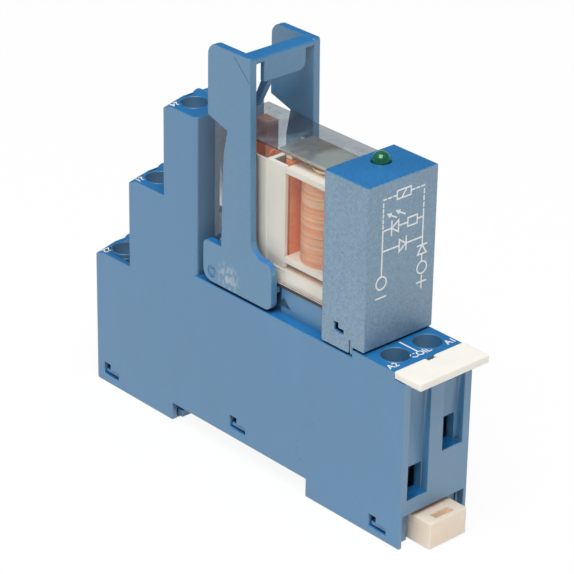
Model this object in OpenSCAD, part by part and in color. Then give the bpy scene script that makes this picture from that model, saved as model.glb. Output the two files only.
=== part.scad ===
// Plug-in relay on a rail socket: stepped socket body with eight screw terminals, a relay under a clear
// cover, a tilting retaining clip, a plug-in indicator module, a marker tag and a sliding rail clip.
// Millimetres. X runs along the body from the stepped end, Y across it, Z up from the feet.

/* [Socket body] */
// Width of the socket body
body_w = 15.8; // [15.2:0.1:17.4]
// Thickness of the outer walls
wall = 1.2; // [1:0.05:1.3]
// Height of the lowest terminal step
step_z = 26.5; // [26:0.1:28]
// Rise from one terminal step to the next
step_rise = 17.5; // [17.2:0.1:20]
// Length of one terminal step
step_l = 9.65; // [9.2:0.05:10.5]
// Length of the tower top
tower_l = 9.1; // [8.6:0.1:10]
// Length of the body beyond the indicator module
end_l = 9.85; // [9:0.05:16]
// Height of the shelf on both sides of the relay
shelf_z = 31.5; // [31:0.1:34]
// Height of the deck of the coil terminals above the shelf
deck_rise = 1.4; // [1:0.1:2]
// Height of the relay seat above the shelf
seat_rise = 4.8; // [4.4:0.1:6]
// Wall of the relay seat beside its contacts
seat_wall = 1; // [0.8:0.05:1.1]
// Radius of the upright corners
corner = 0.6; // [0.3:0.1:1]

/* [Rail foot] */
// Length of the foot at the stepped end
foot_l = 21.9; // [20:0.1:24]
// Width of the slot for the mounting rail
rail_w = 35.5; // [35.2:0.1:36.5]
// Depth of the slot for the mounting rail
rail_h = 3.4; // [3:0.1:3.8]
// Reach of the two hooks under the rail
hook_reach = 1.2; // [0.8:0.1:1.5]
// Thickness of the closing plate
plate_t = 1.2; // [1:0.1:1.4]
// Width of the rail clip
rail_clip_w = 8.6; // [7:0.1:9]
// How far the rail clip stands out of the end
rail_clip_out = 3.7; // [3:0.1:6]

/* [Terminals] */
// Distance of a terminal's axis from its end wall
term_in = 3.8; // [3.6:0.05:4.2]
// Wall of a screw well
tube_wall = 0.6; // [0.5:0.05:0.7]
// Depth of the screw head's seat
well_deep = 4.5; // [4.2:0.1:5]
// Radius of the terminal screw's thread
screw_r = 1.5; // [1.25:0.05:1.5]
// Radius of the terminal screw's head
head_r = 1.95; // [1.8:0.05:2.1]
// Height of the terminal screw's head
head_t = 1.8; // [1.4:0.1:2.2]
// Length of a clamp cage along the body
cage_l = 4.6; // [4.2:0.1:4.8]
// Height of a clamp cage
cage_h = 7.4; // [7.2:0.1:7.8]
// Wall of a clamp cage
cage_wall = 0.9; // [0.8:0.05:1]
// Thickness of the contact strips
strip_t = 1; // [0.8:0.05:1.1]
// Extra depth of the near coil terminal
sink_near = 8.4; // [6:0.1:8.8]
// Extra depth of the far coil terminal
sink_far = 1.7; // [0:0.1:4]

/* [Relay] */
// Length of the relay
relay_l = 29; // [28.4:0.1:31]
// Height of the relay above its seat
relay_h = 25.4; // [24.5:0.1:27]
// Thickness of the clear cover
cover_t = 0.7; // [0.6:0.05:0.9]
// Gap between the tower and the relay
relay_in = 2.7; // [2.4:0.1:3.2]
// Gap between the coil winding and the cover
winding_gap = 0.8; // [0.7:0.05:1.2]
// Radius of the iron core
core_r = 1.9; // [1.5:0.1:2]
// Length of the plug pins below the relay base
pin_l = 3.8; // [3:0.1:4]

/* [Retaining clip] */
// Thickness of the clip's two side plates
clip_t = 1.5; // [1.2:0.05:1.5]
// Height of the clip's handle above the relay
handle_h = 14.6; // [12:0.1:18]
// Length of the clip's handle
handle_l = 10.7; // [10:0.1:12]
// Radius of the clip's pivot pins
pivot_r = 1.2; // [1:0.05:1.3]

/* [Indicator module] */
// Length of the module along the body
module_l = 10.35; // [10:0.05:12]
// Height of the module above the deck
module_h = 30.15; // [28:0.1:34]
// Wall of the module case
module_wall = 1.1; // [0.9:0.05:1.2]
// Radius of the indicator lamp
lamp_r = 1.6; // [1.4:0.05:1.7]

/* [Marker tag] */
// Length of the marker tag
tag_l = 6.1; // [5:0.1:7]
// How far the marker tag stands out beside the body
tag_over = 0.1; // [0:0.05:0.3]
// Thickness of the marker tag
tag_t = 1.4; // [1.2:0.1:1.6]

/* [Clearances] */
// Gap between pieces that rest on each other
seat_gap = 0.1; // [0.05:0.05:0.15]
// Gap beside pieces that slide
slide_gap = 0.2; // [0.15:0.05:0.25]
// Radial gap of a turning pin or screw
run_gap = 0.05; // [0.03:0.01:0.08]

/* [Hidden] */

$fn = 48;
cut = 1;          // overlap that lets a cut run clear of a face

blue = "#2f6f9f";
clear_blue = "#3f6f86";
cream = "#dcd8c6";
copper = "#c4703f";
steel = "#b9bcc0";
brass = "#c9a24d";
white = "#f4efe6";
peach = "#f0c8ae";
board_green = "#3c6b45";
lamp_green = "#1c6b4a";
tan = "#b9a47a";
black = "#2a2a2c";
enamel_blue = "#2f5fa8";

// Socket levels and stations
mid = body_w / 2;
web_t = 1.2;
row_y0 = web_t / 2;
row_y1 = mid - wall;
clip_y0 = mid - clip_t;
relay_w = 2 * (clip_y0 - slide_gap);
relay_y = relay_w / 2;
tag_w = body_w + 2 * tag_over;
tower_x0 = 2 * step_l;
tower_x1 = tower_x0 + tower_l;
tower_z = step_z + 2 * step_rise;
deck_z = shelf_z + deck_rise;
seat_z = shelf_z + seat_rise;
slot_x0 = foot_l;
slot_x1 = foot_l + rail_w;
relay_x0 = tower_x1 + relay_in;
relay_x1 = relay_x0 + relay_l;
relay_z0 = seat_z + seat_gap;
relay_z1 = relay_z0 + relay_h;
module_x0 = relay_x1 + slide_gap + seat_gap;
module_x1 = module_x0 + module_l;
module_z1 = deck_z + module_h;
body_l = module_x1 + end_l;
deck_under = 2.75;      // length of the deck under the module
deck_x0 = module_x1 - deck_under;
block_x1 = module_x1 - module_wall - 0.6;
end_wall = 2.6;
channel_deep = 1.5;
tag_step = 1.3;         // drop from the deck to the ledge of the marker tag
tag_x0 = body_l - end_wall + seat_gap;
tag_x1 = tag_x0 + tag_l;
tag_z0 = deck_z - tag_step + seat_gap;
overall_l = max(tag_x1, body_l + rail_clip_out);

// One row across: the well runs into the outer wall, and the cage and the strip stand in the room below it
tube_sink = 0.1;
cage_room = 0.4;
strip_room = 0.9;
well_r = (row_y1 + tube_sink - row_y0) / 2 - tube_wall;
term_y = row_y0 + tube_wall + well_r;
cage_w = 2 * (row_y1 - cage_room - term_y);
strip_w = cage_w - 2 * cage_wall - strip_room;
strip_y0 = term_y - cage_w / 2 + cage_wall + slide_gap;

// Plug pins and the two leaves that take each of them
pin_pitch = 5;
pin_t = 0.8;
pin_w = 1.2;
leaf_t = 0.5;
leaf_w = 1.8;
leaf_h = 4.2;
leaf_out = pin_t / 2 + run_gap + leaf_t;
pin_y = strip_y0 + strip_w - leaf_out;
seat_w = 2 * (pin_y + leaf_out + slide_gap + seat_wall);
no_x = relay_x0 + 2;
com_x = no_x + pin_pitch;
nc_x = com_x + pin_pitch;
coil_pin_x = relay_x1 - 2;
module_pin_x = module_x0 + 4.65;
contact_top = seat_z - 1;
contact_low = contact_top - leaf_h;

// Terminals: axis station, side of the middle plane, height of the top face and extra depth
term_right = (module_x1 + body_l - end_wall) / 2 - 0.35;
terminals = [
    [term_in, 1, step_z, 0],
    [term_in, -1, step_z, 0],
    [step_l + term_in, 1, step_z + step_rise, 0],
    [step_l + term_in, -1, step_z + step_rise, 0],
    [tower_x0 + term_in, 1, tower_z, 0],
    [tower_x0 + term_in, -1, tower_z, 0],
    [term_right, 1, deck_z, sink_far],
    [term_right, -1, deck_z, sink_near]];
function well_floor(t) = t[2] - t[3] - well_deep;
cage_drop = 3.9;
cage_lid = 1.6;
function cage_top(t) = well_floor(t) - cage_drop;
function strip_top(t) = cage_top(t) - cage_lid - seat_gap;
window_w = 3.9;
window_h = 5.2;
window_sill = 0.3;
function window_z0(t) = cage_top(t) - cage_h + window_sill;
rim_t = 0.15;
rim_w = 0.35;
rib_half = 1.05;
rib_rise = 0.53;
rib_inset = 0.05;
facet = [2.2, 5, 1.1];  // reach along X and Y, and depth, of the facet at a step's outer corner
well_seat_t = 1;
strip_out = 2.2;        // reach of a contact strip beyond its cage's axis

// Everything is drawn from the stepped end, then moved so that the origin is under the middle of the part
module centred() {
    translate([-overall_l / 2, 0, 0]) children();
}

// Box between two corners
module box(x0, x1, y0, y1, z0, z1) {
    translate([x0, y0, z0]) cube([x1 - x0, y1 - y0, z1 - z0]);
}

// Side view outline drawn in X and Z, given its depth from y0 to y1
module slab(y0, y1) {
    translate([0, y1, 0]) rotate([90, 0, 0]) linear_extrude(y1 - y0) children();
}

// Rectangle of a side view
module pane(x0, x1, z0, z1) {
    translate([x0, z0]) square([x1 - x0, z1 - z0]);
}

// Copies a near-side piece to both sides
module both_sides() {
    children();
    mirror([0, 1, 0]) children();
}

// Round bar along Y
module bar_y(x, z, r, y0, y1) {
    translate([x, y1, z]) rotate([90, 0, 0]) cylinder(r = r, h = y1 - y0);
}

// Cut that rounds an upright corner at x, on the side that dir points away from
module corner_cut(x, dir, z0, z1) {
    both_sides() translate([x, -mid, z0]) difference() {
        box(min(-dir, dir * corner), max(-dir, dir * corner), -1, corner, 0, z1 - z0);
        translate([dir * corner, corner, -cut]) cylinder(r = corner, h = z1 - z0 + 2 * cut);
    }
}

// Cut for the slanted facet at the outer corner of a step whose top is at z
module facet_cut(x, z) {
    slope = [facet[2] / facet[0], facet[2] / facet[1]];
    l = facet[0] + facet[1];
    both_sides() translate([x, -mid, z - facet[2]]) rotate([0, 0, atan2(slope[1], slope[0])])
        rotate([0, -atan(norm(slope)), 0]) translate([-l, -l, 0]) cube([2 * l, 2 * l, facet[2] + 1]);
}

// ---- socket housing ----

module housing_outline() {
    polygon([[0, 0], [0, step_z], [step_l, step_z], [step_l, step_z + step_rise],
        [tower_x0, step_z + step_rise], [tower_x0, tower_z], [tower_x1, tower_z], [tower_x1, shelf_z],
        [deck_x0, shelf_z], [deck_x0, deck_z], [body_l - end_wall, deck_z], [body_l - end_wall, deck_z - tag_step],
        [body_l, deck_z - tag_step], [body_l, 0], [slot_x1, 0], [slot_x1, rail_h], [slot_x0, rail_h], [slot_x0, 0]]);
}

// Room inside one row, below the shelf and up the stepped tower
module row_room() {
    pane(wall, body_l - end_wall - wall / 2, -cut, shelf_z - wall);
    pane(wall, tower_x1 - wall, -cut, step_z - wall);
    pane(step_l + wall, tower_x1 - wall, step_z - 2 * wall, step_z + step_rise - wall);
    pane(tower_x0 + wall, tower_x1 - wall, shelf_z - 2 * wall, tower_z - wall);
}

roof_z = 5.5;
roof_t = 1;
arch_deep = 1.4;

// Room for the closing plate between the side walls
module plate_room() {
    pane(wall, slot_x0 + cut, -cut, plate_t + seat_gap);
    pane(slot_x0 - plate_t - seat_gap, slot_x1 + plate_t + seat_gap, -cut, rail_h + plate_t + seat_gap);
    pane(slot_x1 - cut, body_l - arch_deep, -cut, roof_z + roof_t + seat_gap);
}

// The well of one terminal: a tube that hangs in the row and seats the screw's head
module well_tube(t) {
    translate([t[0], t[1] * term_y, well_floor(t) - well_seat_t])
        cylinder(r = well_r + tube_wall, h = t[2] - well_floor(t) + well_seat_t - wall / 2);
}

module well_hole(t) {
    translate([t[0], t[1] * term_y, well_floor(t)]) cylinder(r = well_r, h = t[2] - well_floor(t) + cut);
    translate([t[0], t[1] * term_y, well_floor(t) - well_seat_t - cut])
        cylinder(r = screw_r + run_gap, h = well_seat_t + 2 * cut);
}

module wire_window(t) {
    right = t[0] > body_l / 2;
    x0 = right ? body_l - end_wall - wall : t[0] - term_in - cut;
    x1 = right ? body_l + cut : t[0] - term_in + wall + cut;
    box(x0, x1, t[1] * term_y - window_w / 2, t[1] * term_y + window_w / 2, window_z0(t), window_z0(t) + window_h);
}

channel_y0 = 1.6;
channel_y1 = row_y1 - 0.4;

// Upright wire channel in the end face, down to the sill of its window
module end_channel(t) {
    y0 = t[1] > 0 ? channel_y0 : -channel_y1;
    box(body_l - channel_deep, body_l + cut, y0, y0 + channel_y1 - channel_y0, window_z0(t), deck_z + cut);
}

// Low rib between the two wells of a step, with a round back
module well_rib(x0, x1, z) {
    rib_r = (rib_half * rib_half + rib_rise * rib_rise) / (2 * rib_rise);
    intersection() {
        translate([x0, 0, z + rib_rise - rib_r]) rotate([0, 90, 0]) cylinder(r = rib_r, h = x1 - x0);
        box(x0, x1, -rib_r, rib_r, z - 0.2, z + rib_r);
    }
}

latch_sites = [[2.2, 1.6], [slot_x0 + 15.6, rail_h + 1.9], [slot_x1 + 15.8, 1.4]];
latch_l = 4.1;
latch_h = 2.3;
latch_arm = 1.2;
latch_leg = 1.75;

// L-shaped latch window of the closing plate
module latch_window(at) {
    pane(at[0], at[0] + latch_leg, at[1], at[1] + latch_h);
    pane(at[0], at[0] + latch_l, at[1], at[1] + latch_arm);
}

pivot_x = relay_x0 + 1.4;
pivot_z = shelf_z + 2.5;

module contact_slot(x, side, l) {
    hw = pin_t / 2 + run_gap + slide_gap;
    box(x - l / 2, x + l / 2, side * pin_y - hw, side * pin_y + hw, seat_z - 2, seat_z + cut);
}

arrow_x = relay_x0 + 16.6;
arrow_z = shelf_z + 1.3;
arrow_l = 2.9;
arrow_h = 1.8;
mark_deep = 0.3;
eject_x = pivot_x + 14.3;
eject_l = 1;
eject_room = 0.5;
eject_y = seat_w / 2 - 0.5;
bore_wall = 0.8;        // part of the seat's wall that holds a pivot pin

module socket_housing() {
    color(blue) centred() difference() {
        union() {
            difference() {
                union() {
                    slab(-mid, mid) housing_outline();
                    slab(-seat_w / 2, seat_w / 2) pane(tower_x1 - cut, block_x1, shelf_z - cut, seat_z);
                }
                for (side = [-1, 1]) {
                    y0 = side > 0 ? row_y0 : -row_y1;
                    slab(y0, y0 + row_y1 - row_y0) row_room();
                    b0 = side > 0 ? row_y0 : seat_wall - seat_w / 2;
                    box(tower_x1 + wall, block_x1 - wall, b0, b0 + seat_w / 2 - seat_wall - row_y0,
                        shelf_z - 2 * wall, seat_z - 0.8);
                }
                slab(-row_y1, row_y1) plate_room();
            }
            for (t = terminals) {
                well_tube(t);
                translate([t[0], t[1] * term_y, t[2] - cut]) cylinder(r = well_r + rim_w, h = cut + rim_t);
            }
            well_rib(rib_inset, step_l + 0.1, step_z);
            well_rib(step_l + rib_inset, tower_x0 + 0.1, step_z + step_rise);
            well_rib(tower_x0 + rib_inset, tower_x1 - wall, tower_z);
        }
        for (t = terminals) {
            well_hole(t);
            wire_window(t);
        }
        end_channel(terminals[6]);
        end_channel(terminals[7]);
        box(body_l - arch_deep, body_l + cut, -mid + 0.7, mid - 0.7, -cut, roof_z + 0.6);
        for (at = latch_sites) both_sides() slab(-mid - cut, -row_y1 + 0.1) latch_window(at);
        for (side = [-1, 1]) {
            for (x = [no_x, com_x, nc_x, coil_pin_x, module_pin_x]) contact_slot(x, side, pin_w + 0.6);
        }
        both_sides() bar_y(pivot_x, pivot_z, pivot_r + run_gap, -seat_w / 2 - cut, bore_wall - seat_w / 2 + cut);
        both_sides() slab(-seat_w / 2 - cut, mark_deep - seat_w / 2)
            polygon([[arrow_x, arrow_z], [arrow_x + arrow_l, arrow_z], [arrow_x + 0.4 * arrow_l, arrow_z + arrow_h]]);
        corner_cut(0, 1, -cut, step_z + cut);
        corner_cut(step_l, 1, step_z, step_z + step_rise + cut);
        corner_cut(tower_x0, 1, step_z + step_rise, tower_z + cut);
        corner_cut(tower_x1, -1, shelf_z, tower_z + cut);
        facet_cut(0, step_z);
        facet_cut(step_l, step_z + step_rise);
        facet_cut(tower_x0, tower_z);
        both_sides() box(eject_x - eject_room, eject_x + eject_l + eject_room, -seat_w / 2 - cut,
            -eject_y + seat_gap, shelf_z, seat_z + cut);
    }
}

// ---- closing plate and rail clip ----

cheek_y = rail_clip_w / 2 + 0.3;
plate_y = row_y1 - seat_gap;
groove_z = 1.3;
groove_deep = 0.8;
clip_end = body_l + rail_clip_out;
rail_clip_travel = 3;
runner_x0 = slot_x1 + 3;
groove_end = body_l - arch_deep - 2.7;
runner_l = groove_end - 1 - rail_clip_travel - runner_x0;
hook_z0 = 0.5;
hook_z1 = 2;
snap = 0.2;             // gap around a latch of the closing plate in its window

module base_plate() {
    color(blue) centred() difference() {
        union() {
            slab(-plate_y, plate_y) {
                pane(wall + seat_gap, slot_x0, 0, plate_t);
                pane(slot_x0 - plate_t, slot_x0, 0, rail_h + plate_t);
                pane(slot_x0 - plate_t, slot_x1 + plate_t, rail_h, rail_h + plate_t);
                pane(slot_x1, slot_x1 + plate_t, rail_h, roof_z + roof_t);
                pane(slot_x1, body_l - arch_deep - seat_gap, roof_z, roof_z + roof_t);
                pane(slot_x0 - 0.5, slot_x0 + hook_reach, hook_z0, hook_z1);
            }
            both_sides() box(slot_x1, body_l - arch_deep - seat_gap, -plate_y, -cheek_y, 0, roof_z + 0.5);
            for (at = latch_sites) both_sides() {
                box(at[0] + snap, at[0] + latch_l - snap, -plate_y, -plate_y + 1, max(0, at[1] - 1.6),
                    at[1] + latch_arm);
                box(at[0] + snap, at[0] + latch_l - snap, -mid + 0.45, -plate_y + 0.5, at[1] + snap,
                    at[1] + latch_arm - snap);
            }
        }
        both_sides() box(slot_x1 + 2, groove_end, -cheek_y - groove_deep,
            -cheek_y + cut, groove_z - slide_gap, groove_z + 1 + slide_gap);
    }
}

module rail_clip() {
    hw = rail_clip_w / 2;
    low = 0.3;
    head_x = body_l - 5;
    color(peach) centred() difference() {
        union() {
            box(slot_x1 - hook_reach, slot_x1 + 2, -hw, hw, low, hook_z1);
            box(slot_x1 + 1.5, head_x + 1, -hw, hw, low, 2.6);
            box(head_x, clip_end, -hw, hw, low, roof_z - slide_gap);
            both_sides() box(runner_x0, runner_x0 + runner_l, -cheek_y - groove_deep + slide_gap, -hw + 0.5,
                groove_z, groove_z + 1);
            both_sides() box(head_x - 9, head_x + 0.5, -hw, 0.9 - hw, 2, roof_z - 0.4);
            both_sides() box(head_x - 9, head_x - 8, -hw, -hw + 2.4, 2, roof_z - 0.4);
        }
        box(clip_end - 2.4, clip_end - 1, -2.1, 2.1, roof_z - 2.2, roof_z + cut);
        box(slot_x1 + 5, head_x - 2, -hw + 1.6, hw - 1.6, -cut, 4);
    }
}

module marker_tag() {
    color(white) centred() difference() {
        union() {
            box(tag_x0, tag_x1, -tag_w / 2, tag_w / 2, tag_z0, tag_z0 + tag_t);
            both_sides() box(body_l - channel_deep + seat_gap, body_l - seat_gap, seat_gap - channel_y1,
                -channel_y0 - seat_gap, tag_z0 - 1.6, tag_z0 + 0.5);
        }
        box(tag_x0 - cut, tag_x0 + 0.8, -0.9, 0.9, tag_z0 - cut, tag_z0 + tag_t + cut);
    }
}

// ---- terminals ----

screw_tip_gap = 0.05;
cross_w = 0.6;
cross_deep = 0.9;
cross_l = 2.4;

module terminal_screw(t) {
    z0 = strip_top(t) + screw_tip_gap;
    z1 = well_floor(t) + seat_gap;
    color(steel) centred() translate([t[0], t[1] * term_y, 0]) difference() {
        union() {
            translate([0, 0, z0]) cylinder(r = screw_r, h = z1 - z0 + 0.2);
            translate([0, 0, z1]) cylinder(r = head_r, h = head_t);
        }
        box(-head_r - cut, head_r + cut, -cross_w / 2, cross_w / 2, z1 + head_t - cross_deep, z1 + head_t + cut);
        box(-cross_w / 2, cross_w / 2, -cross_l / 2, cross_l / 2, z1 + head_t - cross_deep, z1 + head_t + cut);
    }
}

module clamp_cage(t) {
    z1 = cage_top(t);
    color(steel) centred() translate([t[0], t[1] * term_y, z1 - cage_h]) difference() {
        box(-cage_l / 2, cage_l / 2, -cage_w / 2, cage_w / 2, 0, cage_h);
        box(-cage_l, cage_l, cage_wall - cage_w / 2, cage_w / 2 - cage_wall, cage_wall, cage_h - cage_lid);
        translate([0, 0, cage_h - cage_lid - cut]) cylinder(r = screw_r + run_gap, h = cage_lid + 2 * cut);
    }
}

// Two leaves that take a plug pin between them, on top of an upright strip end
module contact_leaves(x, side) {
    for (s = [-1, 1]) {
        y = side * pin_y + s * (leaf_out - leaf_t / 2);
        box(x - leaf_w / 2, x + leaf_w / 2, y - leaf_t / 2, y + leaf_t / 2, contact_low, contact_top);
    }
}

// Strip from the cage at x0 to an upright end at x1, by way of a lower run at z_run after x_down
module strip_path(t, x_end, x_down, z_run, x_up) {
    z = strip_top(t);
    pane(min(x_end, x_down), max(x_end, x_down), z - strip_t, z);
    pane(x_down - strip_t / 2, x_down + strip_t / 2, min(z, z_run) - strip_t, max(z, z_run));
    pane(min(x_down, x_up) - strip_t / 2, max(x_down, x_up) + strip_t / 2, z_run - strip_t, z_run);
    pane(x_up - strip_t / 2, x_up + strip_t / 2, z_run - strip_t, contact_low + 0.4);
}

module contact_strip(t, x_end, x_down, z_run, x_up, taps) {
    y0 = t[1] > 0 ? strip_y0 : -strip_y0 - strip_w;
    color(brass) centred() {
        slab(y0, y0 + strip_w) {
            strip_path(t, x_end, x_down, z_run, x_up);
            for (x = taps) pane(x - strip_t / 2, x + strip_t / 2, z_run - strip_t, contact_low + 0.4);
        }
        for (x = concat([x_up], taps)) contact_leaves(x, t[1]);
    }
}

run_low = step_z - 0.9;
run_high = shelf_z - 2.6;
strip_in = 4;           // from a cage's axis to the place where its strip turns
module strip_12(t) { contact_strip(t, t[0] - strip_out, t[0] + strip_in, strip_top(t), nc_x, []); }
module strip_11(t) { contact_strip(t, t[0] - strip_out, tower_x0 + 3.6, run_low, com_x, []); }
module strip_14(t) { contact_strip(t, t[0] - strip_out, tower_x1 - wall - 0.8, run_high, no_x, []); }
module strip_a(t) { contact_strip(t, t[0] + strip_out, t[0] - strip_in, strip_top(t), coil_pin_x, [module_pin_x]); }

// ---- retaining clip ----

clip_y1 = mid;
clip_z0 = shelf_z + 0.5;
clip_top = relay_z1 + handle_h;
stem_x0 = pivot_x + 2.4;
stem_x1 = stem_x0 + 7.7;
handle_x0 = pivot_x - 1.2;
handle_x1 = handle_x0 + handle_l;
handle_z0 = tower_z + 1.7;
lower_x0 = pivot_x - 2.3;
lower_x1 = pivot_x + 15.4;
lower_z1 = pivot_z + 6.7;

module disc(x, z, r) {
    translate([x, z]) circle(r);
}

heel_r = 2.2;
toe_r = 1.6;
heel_top_r = 1.2;
shoulder_r = 2;
fillet_r = 2.6;
handle_r = 2.2;
handle_tip_r = 0.6;
stem_root = lower_z1 - 1;

// Lower part of the side plate, around the pivot
module clip_foot() {
    pane(lower_x0 + heel_r, lower_x1 - toe_r, clip_z0, lower_z1 - shoulder_r);
    pane(lower_x0, lower_x1, clip_z0 + heel_r, lower_z1 - heel_r);
    disc(lower_x0 + heel_r, clip_z0 + heel_r, heel_r);
    disc(lower_x1 - toe_r, clip_z0 + toe_r, toe_r);
    pane(lower_x1 - 2 * toe_r, lower_x1, clip_z0 + toe_r, clip_z0 + 2 * toe_r);
    disc(lower_x0 + heel_top_r, lower_z1 - 1 - heel_top_r, heel_top_r);
    pane(lower_x0 + heel_top_r, stem_x0 + 1, lower_z1 - heel_r - 1, lower_z1 - 1);
    disc(lower_x1 - shoulder_r, lower_z1 - shoulder_r, shoulder_r);
    pane(stem_x0, lower_x1 - shoulder_r, lower_z1 - shoulder_r - 1, lower_z1);
    difference() {
        pane(stem_x1 - 0.1, stem_x1 + fillet_r, lower_z1 - 0.1, lower_z1 + fillet_r);
        disc(stem_x1 + fillet_r, lower_z1 + fillet_r, fillet_r);
    }
}

// Side plate seen from the side: foot, stem and handle
module clip_plate() {
    clip_foot();
    polygon([[stem_x0, stem_root], [stem_x0 + 0.5, handle_z0 - 6], [stem_x0 + 1.4, handle_z0 - 1.5],
        [handle_x0, handle_z0], [handle_x0, clip_top - handle_r], [handle_x0 + handle_r, clip_top - handle_r],
        [handle_x1, clip_top - handle_r], [stem_x1, stem_root]]);
    disc(handle_x0 + handle_r, clip_top - handle_r, handle_r);
    pane(handle_x0 + handle_r, handle_x1 - handle_tip_r, clip_top - handle_r - 0.1, clip_top);
    pane(handle_x1 - handle_r, handle_x1, clip_top - handle_r - 0.1, clip_top - handle_tip_r);
    disc(handle_x1 - handle_tip_r, clip_top - handle_tip_r, handle_tip_r);
}

lip_over = 0.9;
lip_l = 0.8;
lip_t = 0.8;
lip_x1 = relay_x0 + lip_over;
lip_z0 = relay_z1 + 0.8;
lip_y1 = -rib_half - 0.35;
finger_y0 = -3.7;
finger_y1 = -2.5;
finger_l = handle_x1 - 0.1 - lip_x1;
finger_h = clip_top - 5 - lip_z0;

// Point of the finger's outline, as shares of its length and height from the lip's lower edge
function finger_at(u, v) = [lip_x1 + u * finger_l, lip_z0 + v * finger_h];
lip_back = [[lip_x1 - lip_l, lip_z0 + 0.3], [lip_x1 - lip_l, lip_z0 + 0.3 + lip_t]];

// Sickle-shaped finger that carries the lip over the relay's end
module clip_finger() {
    polygon([lip_back[0], finger_at(0, 0), finger_at(0.13, 0.09), finger_at(0.28, 0.17), finger_at(0.48, 0.24),
        finger_at(0.71, 0.39), finger_at(1, 1), finger_at(1, 1.23), finger_at(0.91, 1.23), finger_at(0.63, 0.52),
        finger_at(0.44, 0.39), finger_at(0.1, 0.23), lip_back[1]]);
}

thumb_t = 1.1;
thumb_y = clip_y0 - 1.75;
thumb_h = 2.4;
thumb_r = 1.5;
brow_l = 2.9;           // bar across the top of the handle
brow_r = 0.7;

// Thumb panel that closes the handle's far end, with a rounded lower corner
module thumb_panel() {
    translate([handle_x1 - thumb_t, 0, clip_top - 1]) rotate([90, 0, 90]) linear_extrude(thumb_t) {
        translate([-thumb_y, -thumb_h]) square([2 * thumb_y, thumb_h]);
        translate([-thumb_y, -thumb_h - thumb_r]) square([2 * thumb_y - thumb_r, thumb_r + cut / 2]);
        translate([thumb_y - thumb_r, -thumb_h]) circle(thumb_r);
    }
}

module retaining_clip() {
    color(blue) centred() {
        difference() {
            both_sides() slab(-clip_y1, -clip_y0) clip_plate();
            both_sides() bar_y(pivot_x, pivot_z, 1.1, -mid - cut, 0.25 - mid);
        }
        both_sides() bar_y(pivot_x, pivot_z, pivot_r, -clip_y0 - 0.2, 0.9 - seat_w / 2);
        both_sides() bar_y(pivot_x, pivot_z, 0.6, -mid + 0.05, -clip_y0 - 0.5);
        slab(-clip_y0 - 0.5, clip_y0 + 0.5) {
            pane(handle_x1 - brow_l, handle_x1 - brow_r, clip_top - 2 * brow_r, clip_top - 0.1);
            disc(handle_x1 - brow_r, clip_top - 0.1 - brow_r, brow_r);
        }
        thumb_panel();
        slab(finger_y0, finger_y1) clip_finger();
        slab(finger_y0, lip_y1)
            polygon([lip_back[0], finger_at(0, 0), finger_at(0, 0.17), lip_back[1]]);
        both_sides() box(eject_x, eject_x + eject_l, -clip_y0 - 0.2, -eject_y, seat_z - 1.2, seat_z);
    }
}

// ---- relay ----

base_rim = 0.7;
cover_z0 = relay_z0 + base_rim;
plug_in = cover_t + seat_gap;
floor_z = relay_z0 + 3;
frame_z = floor_z + 0.2;

module relay_cover() {
    color(clear_blue, 0.4) centred() difference() {
        box(relay_x0, relay_x1, -relay_y, relay_y, cover_z0, relay_z1);
        box(relay_x0 + cover_t, relay_x1 - cover_t, cover_t - relay_y, relay_y - cover_t, cover_z0 - cut,
            relay_z1 - cover_t);
    }
}

module pin_hole(x, side) {
    box(x - pin_w / 2, x + pin_w / 2, side * pin_y - pin_t / 2, side * pin_y + pin_t / 2, relay_z0 - cut,
        floor_z + cut);
}

module relay_base() {
    color(cream) centred() difference() {
        union() {
            box(relay_x0 + 0.2, relay_x1 - 0.2, 0.1 - relay_y, relay_y - 0.1, relay_z0, cover_z0 - 0.05);
            box(relay_x0 + plug_in, relay_x1 - plug_in, plug_in - relay_y, relay_y - plug_in, relay_z0, floor_z);
        }
        for (side = [-1, 1]) {
            for (x = [no_x, com_x, nc_x, coil_pin_x]) pin_hole(x, side);
        }
    }
}

// Upright plug pin with its part inside the relay
module plug_pin(x, side, top) {
    box(x - pin_w / 2, x + pin_w / 2, side * pin_y - pin_t / 2, side * pin_y + pin_t / 2, relay_z0 - pin_l, top);
}

winding_r = relay_y - cover_t - winding_gap;
coil_x = relay_x1 - 6.8;
yoke_t = 1.3;
yoke_foot_t = 1;
yoke_x0 = coil_x - winding_r - 0.6 - yoke_t;
yoke_x1 = yoke_x0 + yoke_t;
yoke_top = relay_z1 - 2.8;
card_z = yoke_top - 8;
arm_y = winding_r - 0.9;
arm_out = 1.6;          // from the yoke to the armature's tail
arm_reach = 3.4;        // from the coil's axis to the armature's end
arm_x0 = yoke_x0 - arm_out;
arm_x1 = coil_x + arm_reach;

wing_t = 1;
wing_in = 3.4;          // from the yoke to the insulating wall
wing_x0 = yoke_x0 - wing_in;
wing_y = relay_y - cover_t - 0.4;
wing_top = yoke_top - 0.6;
card_hole_y = 3.1;
card_hole_low = 1.7;
card_hole_h = 4.5;
card_hole_z0 = card_z - card_hole_low;
card_hole_z1 = card_hole_z0 + card_hole_h;
flange_l = 2.7;         // of the wall's side flanges, towards the contacts
flange_out = 0.3;
flange_t = 0.4;

module insulating_wall() {
    color(cream) centred() difference() {
        union() {
            box(wing_x0, wing_x0 + wing_t, -wing_y, wing_y, floor_z + 0.8, wing_top);
            both_sides() box(wing_x0, yoke_x1, -wing_y, -arm_y - 0.5, floor_z, wing_top);
            both_sides() box(wing_x0 - flange_l, wing_x0 + wing_t / 2, -wing_y - flange_out,
                flange_t - wing_y - flange_out, floor_z, wing_top);
        }
        box(wing_x0 - cut, wing_x0 + wing_t + cut, -card_hole_y, card_hole_y, card_hole_z0, card_hole_z1);
    }
}

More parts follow.
